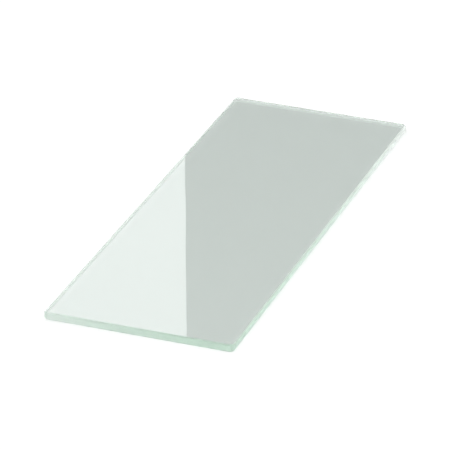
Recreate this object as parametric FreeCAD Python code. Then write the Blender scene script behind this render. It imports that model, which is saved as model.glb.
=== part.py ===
"""Plain microscope slide: one flat plate of clear glass with ground edges.

The slide lies on its underside.  The origin is the centre of the underside, +X runs along
the slide, +Y across it and +Z up through the glass.  All lengths are in millimetres.

The plate is made in the order in which a glass shop makes it: a blank is cut to size, the
four sharp corners are dubbed, and the sharp edge round each face is ground to an arris.
"""

import FreeCAD
import Part

import os

# Driving dimensions
SLIDE_LENGTH = 75.0
SLIDE_WIDTH = 25.0
SLIDE_THICKNESS = 1.0
CORNER_DUB = 0.4  # leg of the 45 degree flat that takes off each corner of the outline
ARRIS = 0.15  # leg of the 45 degree bevel ground round the rim of each face

# The finest thing that the selections below have to tell apart
TOLERANCE = 1e-6


def cut_blank():
    """The plate as it leaves the cutting table, with its underside centred on the origin."""
    near_corner = FreeCAD.Vector(-SLIDE_LENGTH / 2, -SLIDE_WIDTH / 2, 0)
    return Part.makeBox(SLIDE_LENGTH, SLIDE_WIDTH, SLIDE_THICKNESS, near_corner)


def is_upright(edge):
    """True for an edge that runs straight up through the glass, as one stands at each corner."""
    return abs(edge.BoundBox.ZLength - SLIDE_THICKNESS) < TOLERANCE


def rim_of(plate, height):
    """The edges that bound the polished face at this height."""
    return [
        edge
        for edge in plate.Edges
        if edge.BoundBox.ZLength < TOLERANCE and abs(edge.BoundBox.ZMin - height) < TOLERANCE
    ]


def dub_corners(plate):
    """The plate with a small upright flat ground across each of its four corners."""
    corners = [edge for edge in plate.Edges if is_upright(edge)]
    return plate.makeChamfer(CORNER_DUB, corners)


def grind_arrises(plate):
    """The plate with a bevel round both faces, which leaves the ground land between them."""
    rims = rim_of(plate, 0) + rim_of(plate, SLIDE_THICKNESS)
    return plate.makeChamfer(ARRIS, rims)


def glass_slide():
    """The finished slide as one closed solid."""
    plate = grind_arrises(dub_corners(cut_blank()))
    (solid,) = plate.Solids
    return solid


def main():
    """Writes each piece of the slide to its own STEP file."""
    os.makedirs("parts", exist_ok=True)
    pieces = {"glass_slide": glass_slide()}
    for name, solid in pieces.items():
        solid.exportStep(f"parts/{name}.step")
        size = solid.BoundBox
        print(
            f"{name}: {size.XLength:.2f} x {size.YLength:.2f} x {size.ZLength:.2f} mm, "
            f"{solid.Volume:.1f} mm3, {len(solid.Faces)} faces, valid: {solid.isValid()}"
        )


main()
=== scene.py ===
"""Dresses a plain microscope slide and sets it on a white table in a light room.

The slide is one plate of clear soda-lime glass.  Both faces are polished.  The edge all round
is ground: a flat land between two narrow and smoother arrises, with a small flat across each
corner.  Light that gets in through the ground edge runs along inside the plate between its
faces, so the glass looks almost colourless face on and pale green at its edges.

Lengths are in metres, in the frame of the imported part: the slide lies on its underside at
z = 0, +X runs along it and +Y across it.  Headings are in degrees from +X towards +Y, and
heights given in degrees are above the table, both as seen from the middle of the slide.
"""

from __future__ import annotations

import logging
import math
from dataclasses import dataclass, field
from enum import Enum

import bmesh
import bpy
from mathutils import Matrix, Vector, noise

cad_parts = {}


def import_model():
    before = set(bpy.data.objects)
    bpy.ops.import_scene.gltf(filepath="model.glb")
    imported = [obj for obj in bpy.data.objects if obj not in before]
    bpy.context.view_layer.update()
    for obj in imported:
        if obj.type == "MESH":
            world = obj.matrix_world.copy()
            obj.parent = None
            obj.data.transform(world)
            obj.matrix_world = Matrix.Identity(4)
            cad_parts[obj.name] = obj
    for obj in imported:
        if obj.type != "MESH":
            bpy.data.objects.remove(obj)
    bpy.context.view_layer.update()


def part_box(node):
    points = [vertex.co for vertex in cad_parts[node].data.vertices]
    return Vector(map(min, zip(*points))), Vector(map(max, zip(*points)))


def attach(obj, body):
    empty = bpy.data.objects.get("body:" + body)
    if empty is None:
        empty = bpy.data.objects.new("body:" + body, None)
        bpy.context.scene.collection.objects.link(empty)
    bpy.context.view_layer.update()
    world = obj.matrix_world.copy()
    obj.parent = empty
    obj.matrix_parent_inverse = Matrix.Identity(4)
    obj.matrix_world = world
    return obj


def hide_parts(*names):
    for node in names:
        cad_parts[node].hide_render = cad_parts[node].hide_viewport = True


MM = 0.001
UP = Vector((0, 0, 1))
UPRIGHT = 0.9999  # share of a unit vector that lies along Z where it counts as upright
LEVEL = 0.3  # share of it up to which it counts as level
RIDGE = math.radians(20)  # turn from one flat to the next from which the edge is a ridge
NODE = "glass_slide"
BODY = "root"

Colour = tuple[float, float, float]
Range = tuple[float, float]
Socket = bpy.types.NodeSocket
WHITE: Colour = (1.0, 1.0, 1.0)

log = logging.getLogger("microscope_slide")


def direction(heading: float, height: float = 0.0) -> Vector:
    """Finds the unit vector towards something.

    Args:
        heading: Its heading.
        height: Its height in degrees.

    Returns:
        The vector.
    """
    turn, rise = math.radians(heading), math.radians(height)
    return Vector((math.cos(turn) * math.cos(rise), math.sin(turn) * math.cos(rise), math.sin(rise)))


def add_object(name: str, shape: bmesh.types.BMesh, material: bpy.types.Material) -> bpy.types.Object:
    """Turns a finished bmesh into an object of the scene.

    Args:
        name: The object's name.
        shape: Its shape, which is used up.
        material: Its one material.

    Returns:
        The new object, at the origin.
    """
    mesh = bpy.data.meshes.new(name)
    shape.to_mesh(mesh)
    shape.free()
    mesh.materials.append(material)
    made = bpy.data.objects.new(name, mesh)
    bpy.context.scene.collection.objects.link(made)
    return made


class NodeBench:
    """Lays out the nodes of one shader tree."""

    def __init__(self, owner: bpy.types.Material | bpy.types.World) -> None:
        """Clears the owner's tree to start from nothing."""
        owner.use_nodes = True
        self.tree = owner.node_tree
        self.tree.nodes.clear()

    def add(
        self, kind: str, inputs: dict[str | int, object] | None = None, **settings: object
    ) -> bpy.types.Node:
        """Adds a node.

        Args:
            kind: The node's type, without the leading ShaderNode.
            inputs: For each input socket, its value or the output socket to link to it.
            **settings: Values for the node's own properties.

        Returns:
            The new node.
        """
        node = self.tree.nodes.new("ShaderNode" + kind)
        for name, setting in settings.items():
            setattr(node, name, setting)
        for name, value in (inputs or {}).items():
            socket = node.inputs[name]
            if isinstance(value, Socket):
                self.tree.links.new(value, socket)
            elif socket.type == "RGBA":
                socket.default_value = (*value, 1.0)
            else:
                socket.default_value = value
        return node

    def maths(self, operation: str, first: Socket | float, second: Socket | float) -> Socket:
        """Works one value out from two.

        Args:
            operation: What to do with them.
            first: The first of the two.
            second: The second.

        Returns:
            The result.
        """
        return self.add("Math", {0: first, 1: second}, operation=operation).outputs["Value"]

    def mix(self, share: Socket, base: Socket | Colour, over: Socket | Colour) -> Socket:
        """Lays one colour over another.

        Args:
            share: How much of the upper colour shows.
            base: The lower colour.
            over: The upper colour.

        Returns:
            The colour that results.
        """
        return self.add("MixRGB", {"Fac": share, "Color1": base, "Color2": over}).outputs["Color"]

    def stretch(self, value: Socket, source: Range, target: Range) -> Socket:
        """Stretches one range of a value over another, and holds it within that.

        Args:
            value: What to stretch.
            source: The range that it has.
            target: The range that it gets.

        Returns:
            The stretched value.
        """
        ends = {"From Min": source[0], "From Max": source[1], "To Min": target[0], "To Max": target[1]}
        return self.add("MapRange", {"Value": value, **ends}).outputs["Result"]

    def relief(self, height: Socket, depth: float, normal: Socket, share: Socket | float = 1.0) -> Socket:
        """Presses a pattern into a surface.

        Args:
            height: The pattern, from 0 to 1.
            depth: How deep it goes.
            normal: The surface's normal so far.
            share: How much of it shows.

        Returns:
            The new normal.
        """
        inputs = {"Strength": share, "Height": height, "Distance": depth, "Normal": normal}
        return self.add("Bump", inputs).outputs["Normal"]


class Surface(Enum):
    """How a stretch of the glass is finished, as how far it is ground.

    The faces are polished and the land is ground.  The arrises are seamed: a finer belt takes
    off the sharp rims, and leaves them smoother than the land.
    """

    POLISHED = 0.0
    SEAMED = 0.6
    GROUND = 1.0


SURFACE_ATTRIBUTE = "ground"


@dataclass(frozen=True)
class Marks:
    """One kind of fine marks in a surface.

    Attributes:
        length: How long a mark is, level with the table.
        width: How wide it is, up and down.
        depth: How deep it is.
        detail: How many finer layers of marks lie over it.
    """

    length: float
    width: float
    depth: float
    detail: float = 0.0

    def pattern(self, bench: NodeBench, place: Socket) -> Socket:
        """Draws the marks.

        Args:
            bench: The material's tree.
            place: Where on the glass, in metres.

        Returns:
            A value from 0 to 1 over the surface.
        """
        scale = (1 / self.length, 1 / self.length, 1 / self.width)
        fitted = bench.add("Mapping", {"Vector": place, "Scale": scale}).outputs["Vector"]
        return bench.add("TexNoise", {"Vector": fitted, "Scale": 1.0, "Detail": self.detail}).outputs["Fac"]


@dataclass(frozen=True)
class ClearGlass:
    """Soda-lime glass, polished on its faces and ground on its edges.

    Attributes:
        ior: Refractive index.
        tint_and_painted_shade: Colour that a polished face gives to what shows through it: the
        glass's own faint grey-green tint, deepened with painted shade that darkens what
        shows through.
        absorbing: Colour that a long way through the glass tends to.
        absorption: How strongly the glass absorbs the rest of the light, for each metre.
        waves: Faint waves left in the polished faces by the rolling of the sheet.
        streaks: Scratches that the wheel leaves along a ground edge.
        streak_range: Between which heights the streaks go from smoothest to roughest.
        edge_roughness: Roughness of the ground land in its smoothest and in its roughest streaks.
        grain: Pits that the wheel's grit leaves in the edge.
        pit_range: Between which heights the edge goes from the colour of its pits to white.
        pit: Colour of the pits.
    """

    ior: float = 1.52
    # Painted shade: a deeper grey-green than the glass's own tint, so what shows through the faces looks
    # shaded.
    tint_and_painted_shade: Colour = (0.850, 0.888, 0.868)
    absorbing: Colour = (0.30, 0.72, 0.45)
    absorption: float = 7.5
    waves: Marks = Marks(18 * MM, 18 * MM, 0.004 * MM)
    streaks: Marks = Marks(2.5 * MM, 0.07 * MM, 0.012 * MM, 2.0)
    streak_range: Range = (0.35, 0.65)
    edge_roughness: Range = (0.9, 1.0)
    grain: Marks = Marks(0.06 * MM, 0.06 * MM, 0.03 * MM, 2.0)
    pit_range: Range = (0.375, 0.525)
    pit: Colour = (0.97, 0.99, 0.98)

    def material(self) -> bpy.types.Material:
        """Builds the material.

        Returns:
            One material for the whole closed plate, so that light that goes in through a face
            and comes out through an edge has been inside one glass all the way.
        """
        made = bpy.data.materials.new("clear_glass")
        bench = NodeBench(made)
        place = bench.add("TexCoord").outputs["Object"]
        ground = bench.add("Attribute", attribute_name=SURFACE_ATTRIBUTE).outputs["Fac"]
        streaks = self.streaks.pattern(bench, place)
        grain = self.grain.pattern(bench, place)
        glass = bench.add(
            "BsdfPrincipled",
            {
                "Base Color": self.colour(bench, ground, streaks, grain),
                "Metallic": 0.0,
                "Roughness": self.roughness(bench, ground, streaks),
                "IOR": self.ior,
                "Transmission Weight": 1.0,
                "Normal": self.normal(bench, place, ground, streaks, grain),
            },
            distribution="MULTI_GGX",
        )
        inside = bench.add("VolumeAbsorption", {"Color": self.absorbing, "Density": self.absorption})
        bench.add("OutputMaterial", {"Surface": glass.outputs["BSDF"], "Volume": inside.outputs["Volume"]})
        return made

    def colour(self, bench: NodeBench, ground: Socket, streaks: Socket, grain: Socket) -> Socket:
        """Colours the glass.

        Args:
            bench: The material's tree.
            ground: How far the glass is ground.
            streaks: The height of the streaks.
            grain: The height of the grain.

        Returns:
            The faces' tint with painted shade in it, and on the ground edges white with darker pits.
        """
        mean_height = bench.maths("MULTIPLY", bench.maths("ADD", streaks, grain), 0.5)
        edge = bench.mix(bench.stretch(mean_height, self.pit_range, (0.0, 1.0)), self.pit, WHITE)
        # The polished faces take the tint with its painted shade, and the arrises take part of it.
        return bench.mix(ground, self.tint_and_painted_shade, edge)

    def roughness(self, bench: NodeBench, ground: Socket, streaks: Socket) -> Socket:
        """Roughens the glass.

        Args:
            bench: The material's tree.
            ground: How far the glass is ground.
            streaks: The height of the streaks.

        Returns:
            None on the faces, and on the ground edges more or less from streak to streak.
        """
        edge = bench.stretch(streaks, self.streak_range, self.edge_roughness)
        return bench.maths("MULTIPLY", ground, edge)

    def normal(
        self, bench: NodeBench, place: Socket, ground: Socket, streaks: Socket, grain: Socket
    ) -> Socket:
        """Presses the marks into the glass.

        Args:
            bench: The material's tree.
            place: Where on the glass, in metres.
            ground: How far the glass is ground.
            streaks: The height of the streaks.
            grain: The height of the grain.

        Returns:
            The normal, with the waves all over and the grain and the streaks on the ground edges.
        """
        flat = bench.add("NewGeometry").outputs["Normal"]
        wavy = bench.relief(self.waves.pattern(bench, place), self.waves.depth, flat)
        pitted = bench.relief(grain, self.grain.depth, wavy, ground)
        return bench.relief(streaks, self.streaks.depth, pitted, ground)


@dataclass(frozen=True)
class GlassSlide:
    """The glass plate, made in the order in which a glass shop makes it.

    Attributes:
        low: Lowest corner of the space that the plate fills.
        high: Highest corner of that space.
        corner_dub: Leg of the flat ground across each corner of the outline.
        arris: Leg of the bevel ground round the rim of each face.
        wander: How far the borders of an arris may stray, as they do where a belt grinds it.
        wander_length: How far along the edge it takes to stray.
        softness: How far back the grit rounds each ridge between two ground flats.
        cell: Spacing of the mesh along the edges.
        glass: The finish.
    """

    low: Vector
    high: Vector
    corner_dub: float = 0.4 * MM
    arris: float = 0.15 * MM
    wander: float = 0.03 * MM
    wander_length: float = 6 * MM
    softness: float = 0.02 * MM
    cell: float = 1.0 * MM
    glass: ClearGlass = ClearGlass()

    @property
    def centre(self) -> Vector:
        """The middle of the plate."""
        return (self.low + self.high) / 2

    def build(self) -> bpy.types.Object:
        """Makes the plate and dresses it.

        Returns:
            The plate's object, which rides on the part's body and stands for its node.
        """
        plate = self.blank()
        self.grind(plate, [edge for edge in plate.edges if self.is_upright(edge)], self.corner_dub)
        self.grind(plate, [edge for edge in plate.edges if not self.is_upright(edge)], self.arris)
        self.divide(plate)
        self.stray(plate)
        self.soften(plate)
        self.mark_surfaces(plate)
        slide = add_object("slide_glass", plate, self.glass.material())
        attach(slide, BODY)
        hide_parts(NODE)
        return slide

    def blank(self) -> bmesh.types.BMesh:
        """Cuts the plate to size, with square edges."""
        plate = bmesh.new()
        bmesh.ops.create_cube(plate, size=1.0)
        bmesh.ops.scale(plate, vec=self.high - self.low, verts=plate.verts)
        bmesh.ops.translate(plate, vec=self.centre, verts=plate.verts)
        return plate

    @staticmethod
    def is_upright(edge: bmesh.types.BMEdge) -> bool:
        """Tells the edges that stand up through the glass from those round its two faces."""
        start, end = (point.co for point in edge.verts)
        return abs((end - start).normalized().z) > UPRIGHT

    @staticmethod
    def is_polished(face: bmesh.types.BMFace) -> bool:
        """Tells the two level faces of the glass from the flats ground round them."""
        return abs(face.normal.z) > UPRIGHT

    def surface_of(self, face: bmesh.types.BMFace) -> Surface:
        """Tells how a face of the mesh is finished.

        Args:
            face: The face.

        Returns:
            Polished for the two faces of the glass, ground for the land and the corner flats,
            and seamed for the arrises.
        """
        if self.is_polished(face):
            return Surface.POLISHED
        return Surface.GROUND if abs(face.normal.z) < LEVEL else Surface.SEAMED

    @staticmethod
    def grind(
        plate: bmesh.types.BMesh, edges: list[bmesh.types.BMEdge], leg: float, flats: int = 1
    ) -> None:
        """Grinds a bevel along some edges.

        Args:
            plate: The plate.
            edges: Where to grind.
            leg: How far back the bevel reaches on each side.
            flats: How many flats it has.
        """
        bmesh.ops.bevel(
            plate,
            geom=edges,
            offset=leg,
            offset_type="OFFSET",
            affect="EDGES",
            segments=flats,
            profile=0.5,
            material=-1,
            clamp_overlap=True,
        )

    def divide(self, plate: bmesh.types.BMesh) -> None:
        """Divides the mesh into cells both ways, so that the arrises can stray."""
        for across in (Vector((1, 0, 0)), Vector((0, 1, 0))):
            reach = (self.high - self.centre).dot(across) - self.corner_dub
            count = int(reach / self.cell)
            for step in range(-count, count + 1):
                bmesh.ops.bisect_plane(
                    plate,
                    geom=[*plate.verts, *plate.edges, *plate.faces],
                    plane_co=self.centre + step * self.cell * across,
                    plane_no=across,
                )

    def stray(self, plate: bmesh.types.BMesh) -> None:
        """Lets both borders of each arris stray, one within its face and one within the land."""
        plate.normal_update()
        for point in plate.verts:
            depth = min(point.co.z - self.low.z, self.high.z - point.co.z)
            drift = self.wander * noise.noise(point.co / self.wander_length)
            is_on_land = depth > self.arris / 2
            if is_on_land:
                point.co.z += drift
            elif not all(self.is_polished(face) for face in point.link_faces):
                outward = sum((face.normal for face in point.link_faces), Vector())
                outward.z = 0
                point.co += drift * outward.normalized()
        plate.normal_update()

    def soften(self, plate: bmesh.types.BMesh) -> None:
        """Rounds the ridges between the flats a little."""
        ridges = [edge for edge in plate.edges if edge.calc_face_angle() > RIDGE]
        self.grind(plate, ridges, self.softness, flats=2)

    def mark_surfaces(self, plate: bmesh.types.BMesh) -> None:
        """Records how each face of the mesh is finished."""
        bmesh.ops.recalc_face_normals(plate, faces=plate.faces)
        mark = plate.faces.layers.float.new(SURFACE_ATTRIBUTE)
        for face in plate.faces:
            face[mark] = self.surface_of(face).value


@dataclass(frozen=True)
class WhitePaint:
    """Matt white paint, which shows as a plain white background.

    Attributes:
        white: How much light the paint sends back.
        glow: What brings it up to white for the eye, and for what glass shows of it.
    """

    white: float = 0.93
    glow: float = 0.1

    def material(self) -> bpy.types.Material:
        """Builds the material."""
        made = bpy.data.materials.new("white_paint")
        bench = NodeBench(made)
        path = bench.add("LightPath").outputs
        mirrored = bench.maths("MAXIMUM", path["Is Glossy Ray"], path["Is Transmission Ray"])
        seen = bench.maths("MAXIMUM", path["Is Camera Ray"], mirrored)
        matt = bench.add("BsdfDiffuse", {"Color": (self.white, self.white, self.white)})
        light = bench.add("Emission", {"Strength": bench.maths("MULTIPLY", seen, self.glow)})
        both = bench.add("AddShader", {0: matt.outputs["BSDF"], 1: light.outputs["Emission"]})
        bench.add("OutputMaterial", {"Surface": both.outputs["Shader"]})
        return made


@dataclass(frozen=True)
class Table:
    """A round white table, which curves up into a low wall all round.

    Attributes:
        gap: Air between the slide and the table.
        radius: Where the wall starts to rise.
        wall: How far out and how far up the wall curves.
        sides: Straight stretches round the table.
        steps: Flats up the wall.
        paint: The finish.
    """

    gap: float = 0.03 * MM
    radius: float = 2.6
    wall: float = 0.4
    sides: int = 96
    steps: int = 8
    paint: WhitePaint = WhitePaint()

    def build(self) -> None:
        """Sets the table under the slide."""
        top = bmesh.new()
        bmesh.ops.create_circle(top, cap_ends=True, radius=self.radius, segments=self.sides)
        for step in range(self.steps):
            self.raise_rim(top, step + 1)
        bmesh.ops.translate(top, vec=-self.gap * UP, verts=top.verts)
        bmesh.ops.recalc_face_normals(top, faces=top.faces)
        add_object("white_table", top, self.paint.material())

    def raise_rim(self, top: bmesh.types.BMesh, step: int) -> None:
        """Adds one flat of the wall round the table's rim.

        Args:
            top: The table so far.
            step: Which flat it is, from 1.
        """
        angle = math.radians(90) * step / self.steps
        out = self.radius + self.wall * math.sin(angle)
        up = self.wall * (1 - math.cos(angle))
        rim = [edge for edge in top.edges if edge.is_boundary]
        grown = bmesh.ops.extrude_edge_only(top, edges=rim)["geom"]
        for point in (item for item in grown if isinstance(item, bmesh.types.BMVert)):
            point.co.z = 0
            point.co = out * point.co.normalized() + up * UP


class Cover(Enum):
    """What a panel is covered with, as how much light it sends out against a white of 1."""

    BLACK_FELT = 0.0
    LIT_SILK = 1.22

    def material(self) -> bpy.types.Material:
        """Builds the cover's material."""
        made = bpy.data.materials.new(self.name.lower())
        bench = NodeBench(made)
        light = bench.add("Emission", {"Strength": self.value})
        bench.add("OutputMaterial", {"Surface": light.outputs["Emission"]})
        return made


@dataclass(frozen=True)
class Panel:
    """A curved panel that stands round the slide and shows only in the glass.

    Attributes:
        cover: What it is covered with.
        left: Heading of its left edge.
        right: Heading of its right edge.
        bottom: Height of its lower rim, in degrees.
        top: Height of its upper rim, in degrees.
        lean: How far its upright edges lean to the right, in degrees.
        distance: How far off it stands.
        step: Turn from one flat of the curve to the next, in degrees.
    """

    cover: Cover
    left: float
    right: float
    bottom: float = 5.0
    top: float = 45.0
    lean: float = 0.0
    distance: float = 0.5
    step: float = 2.0

    def build(self, centre: Vector) -> None:
        """Sets the panel up.

        Args:
            centre: The middle of the slide.
        """
        low, high = (self.distance * math.tan(math.radians(height)) for height in (self.bottom, self.top))
        slip = math.tan(math.radians(self.lean)) * (high - low) / self.distance
        sheet = bmesh.new()
        foot = sheet.verts.new(self.distance * direction(self.left) + low * UP)
        head = sheet.verts.new(foot.co + (high - low) * UP)
        bmesh.ops.rotate(sheet, matrix=Matrix.Rotation(-slip, 3, "Z"), verts=[head])
        edge = sheet.edges.new((foot, head))
        bmesh.ops.spin(
            sheet,
            geom=[foot, head, edge],
            axis=UP,
            angle=math.radians(self.right - self.left),
            steps=round((self.left - self.right) / self.step),
        )
        bmesh.ops.translate(sheet, vec=centre, verts=sheet.verts)
        panel = add_object(f"panel_{self.cover.name.lower()}", sheet, self.cover.material())
        panel.visible_camera = False
        panel.visible_diffuse = False
        panel.visible_shadow = False


@dataclass(frozen=True)
class Lamp:
    """One broad soft lamp, far off.

    Attributes:
        share: How much light it gives the table, where 1 makes white paint look white.
        heading: Its heading.
        height: Its height, in degrees.
        width: How wide it looks from the slide, in degrees.
    """

    share: float = 0.15
    heading: float = 146.0
    height: float = 60.0
    width: float = 50.0

    def build(self) -> None:
        """Hangs the lamp."""
        data = bpy.data.lights.new("lamp", "SUN")
        data.angle = math.radians(self.width)
        data.energy = math.pi * self.share / math.sin(math.radians(self.height))
        lamp = bpy.data.objects.new("lamp", data)
        lamp.rotation_euler = direction(self.heading, self.height).to_track_quat("Z", "Y").to_euler()
        bpy.context.scene.collection.objects.link(lamp)


@dataclass(frozen=True)
class Room:
    """The plain light room round the table.

    Attributes:
        brightness: How bright its walls are, against a white of 1.
    """

    brightness: float = 0.9

    def build(self) -> None:
        """Puts the room round the scene."""
        world = bpy.data.worlds.new("room")
        bench = NodeBench(world)
        plain = bench.add("Background", {"Color": WHITE, "Strength": self.brightness})
        bench.add("OutputWorld", {"Surface": plain.outputs["Background"]})
        bpy.context.scene.world = world


@dataclass(frozen=True)
class Viewpoint:
    """Where the camera stands and what it takes in.

    Attributes:
        heading: Its heading.
        height: Its height, in degrees.
        distance: How far it is from the middle of the slide.
        aim: What it points at, from the middle of the slide.
        roll: How far it is turned about its own axis, in degrees.
        lens: Its focal length in millimetres, on a sensor 36 mm wide.
        sight: Where its sight starts and where it ends, as shares of its distance.
    """

    heading: float = 197.8
    height: float = 24.4
    distance: float = 0.552
    aim: Vector = field(default_factory=lambda: Vector((-3.0, 0.3, 0)) * MM)
    roll: float = 2.0
    lens: float = 336.0
    sight: Range = (0.1, 100.0)

    def build(self, centre: Vector) -> None:
        """Sets the camera up.

        Args:
            centre: The middle of the slide.
        """
        data = bpy.data.cameras.new("camera")
        data.lens = self.lens
        data.clip_start, data.clip_end = (share * self.distance for share in self.sight)
        camera = bpy.data.objects.new("camera", data)
        camera.location = centre + self.distance * direction(self.heading, self.height)
        level = (camera.location - centre - self.aim).to_track_quat("Z", "Y").to_matrix()
        camera.rotation_euler = (level @ Matrix.Rotation(math.radians(self.roll), 3, "Z")).to_euler()
        bpy.context.scene.collection.objects.link(camera)
        bpy.context.scene.camera = camera


@dataclass(frozen=True)
class Studio:
    """The table, the light and the camera.

    Attributes:
        centre: The middle of the slide.
        table: What the slide lies on.
        room: What is round the table.
        lamp: What hangs over it.
        panels: What stands round the slide for its faces to mirror.
        viewpoint: Where the camera is.
        crossings: How often light may cross or be mirrored inside the glass.
    """

    centre: Vector
    table: Table = Table()
    room: Room = Room()
    lamp: Lamp = Lamp()
    panels: tuple[Panel, ...] = (
        Panel(Cover.BLACK_FELT, 20.0, -45.0, lean=2.0),
        Panel(Cover.LIT_SILK, 110.0, 20.0, lean=2.0),
        Panel(Cover.BLACK_FELT, 135.0, 115.0),
        Panel(Cover.BLACK_FELT, 245.0, 225.0),
    )
    viewpoint: Viewpoint = Viewpoint()
    crossings: int = 96

    def build(self) -> None:
        """Sets up the whole studio."""
        self.table.build()
        self.room.build()
        self.lamp.build()
        for panel in self.panels:
            panel.build(self.centre)
        self.viewpoint.build(self.centre)
        self.set_renderer(bpy.context.scene)

    def set_renderer(self, scene: bpy.types.Scene) -> None:
        """Keeps colours plain, and follows light through the glass without blurring its faces."""
        scene.view_settings.view_transform = "Standard"
        scene.cycles.max_bounces = self.crossings
        scene.cycles.glossy_bounces = self.crossings
        scene.cycles.transmission_bounces = self.crossings
        scene.cycles.blur_glossy = 0.0


def main() -> None:
    """Builds the slide and the studio."""
    logging.basicConfig(level=logging.INFO, format="%(name)s: %(message)s")
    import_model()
    slide = GlassSlide(*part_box(NODE))
    plate = slide.build()
    size = " x ".join(f"{side / MM:.2f}" for side in plate.dimensions)
    log.info("%s: %s mm, %d faces", plate.name, size, len(plate.data.polygons))
    studio = Studio(slide.centre)
    studio.build()
    log.info("studio: table, room, lamp, camera and %d panels", len(studio.panels))


if __name__ == "__main__":
    main()
